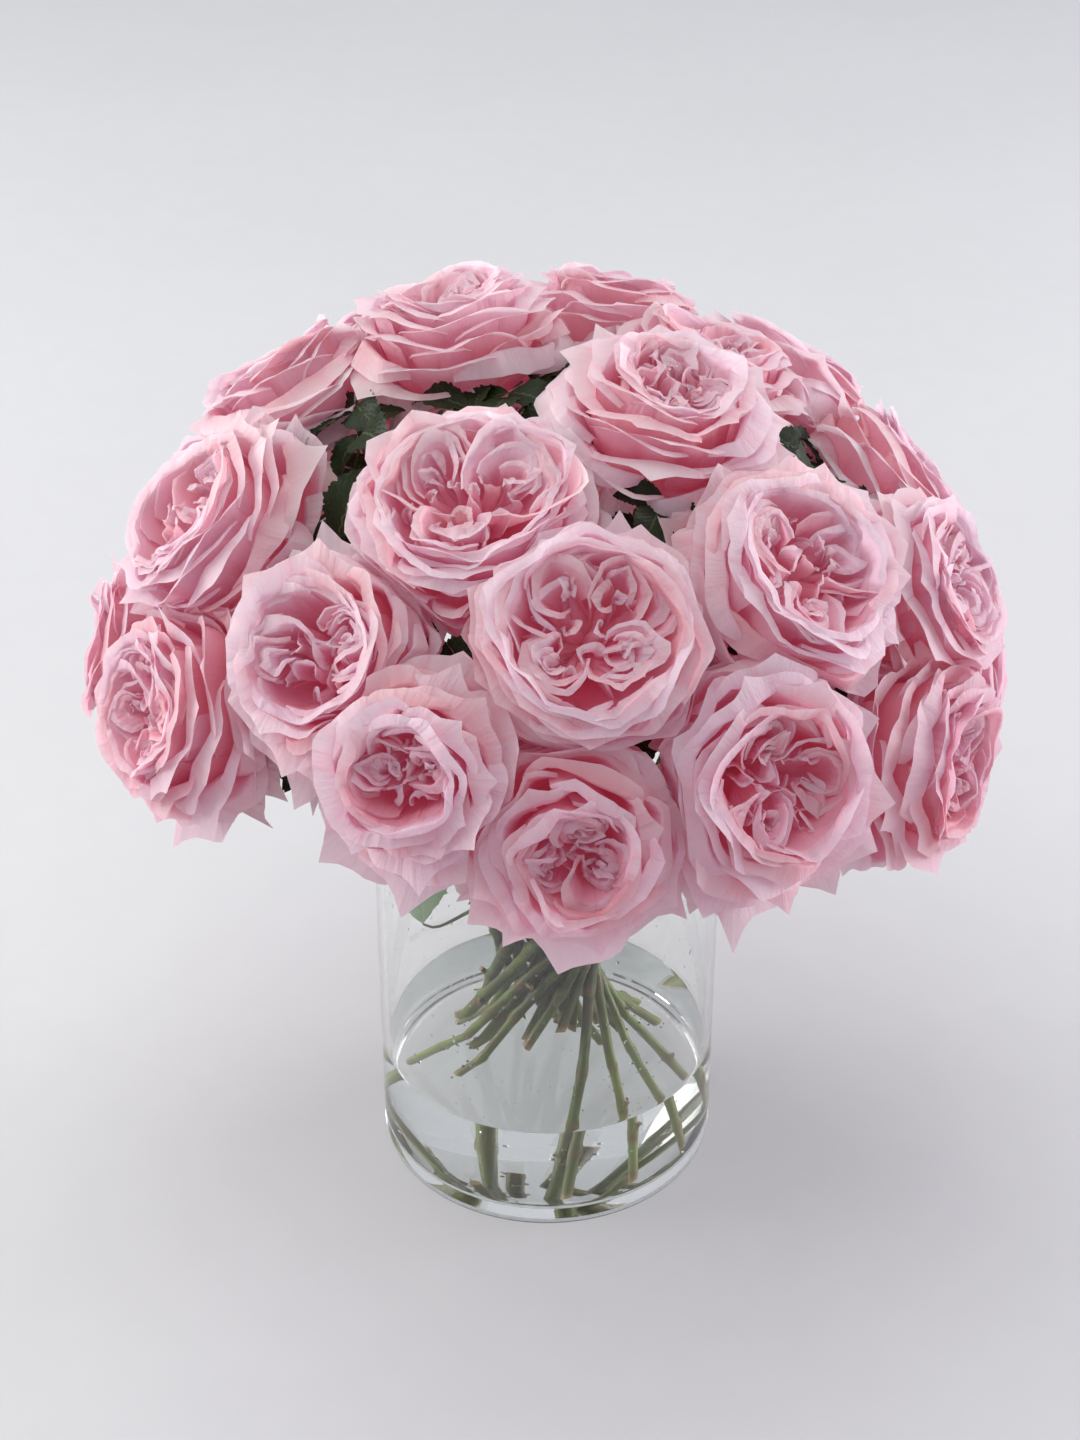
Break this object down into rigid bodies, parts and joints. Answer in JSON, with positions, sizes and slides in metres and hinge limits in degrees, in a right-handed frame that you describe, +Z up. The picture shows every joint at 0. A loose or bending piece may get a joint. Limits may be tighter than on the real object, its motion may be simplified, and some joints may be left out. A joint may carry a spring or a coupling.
{
  "type": "roses in a vase",
  "caption": "Round bunch of open pink garden roses standing in water in a clear straight-sided glass cylinder vase with a thick floor.",
  "frame": {"origin": "centre of the vase's flat underside", "axes": "+Z up along the vase's axis; -Y is the front, +X is to the right seen from the front"},
  "size_m": [0.4068, 0.402, 0.4322],
  "materials": {
    "clear_glass": "polished clear glass, thick floor",
    "water": "clear still water",
    "stem_green": "smooth green bark, brown at the nodes and cuts",
    "leaf_green": "semi-gloss, veined",
    "petal_pink": "soft velvety petals, paler at the rims and deeper in the hollows"
  },
  "bodies": {
    "root": {"vase": "clear_glass", "water": "water", "rose_stem_01": "stem_green", "rose_stem_02": "stem_green", "rose_stem_03": "stem_green", "rose_stem_04": "stem_green", "rose_stem_05": "stem_green", "rose_stem_06": "stem_green", "rose_stem_07": "stem_green", "rose_stem_08": "stem_green", "rose_stem_09": "stem_green", "rose_stem_10": "stem_green", "rose_stem_11": "stem_green", "rose_stem_12": "stem_green", "rose_stem_13": "stem_green", "rose_stem_14": "stem_green", "rose_stem_15": "stem_green", "rose_stem_16": "stem_green", "rose_stem_17": "stem_green", "rose_stem_18": "stem_green", "rose_stem_19": "stem_green", "rose_stem_20": "stem_green", "rose_stem_21": "stem_green", "rose_stem_22": "stem_green", "rose_stem_23": "stem_green", "rose_stem_24": "stem_green", "rose_stem_25": "stem_green", "rose_stem_26": "stem_green", "rose_stem_27": "stem_green", "rose_bloom_01": "petal_pink", "rose_bloom_02": "petal_pink", "rose_bloom_03": "petal_pink", "rose_bloom_04": "petal_pink", "rose_bloom_05": "petal_pink", "rose_bloom_06": "petal_pink", "rose_bloom_07": "petal_pink", "rose_bloom_08": "petal_pink", "rose_bloom_09": "petal_pink", "rose_bloom_10": "petal_pink", "rose_bloom_11": "petal_pink", "rose_bloom_12": "petal_pink", "rose_bloom_13": "petal_pink", "rose_bloom_14": "petal_pink", "rose_bloom_15": "petal_pink", "rose_bloom_16": "petal_pink", "rose_bloom_17": "petal_pink", "rose_bloom_18": "petal_pink", "rose_bloom_19": "petal_pink", "rose_bloom_20": "petal_pink", "rose_bloom_21": "petal_pink", "rose_bloom_22": "petal_pink", "rose_bloom_23": "petal_pink", "rose_bloom_24": "petal_pink", "rose_bloom_25": "petal_pink", "rose_bloom_26": "petal_pink", "rose_bloom_27": "petal_pink", "leaf_in_vase": "leaf_green", "leaf_front_right": "leaf_green", "leaf_left_skirt": "leaf_green", "leaf_crown": "leaf_green"}
  },
  "joints": []
}
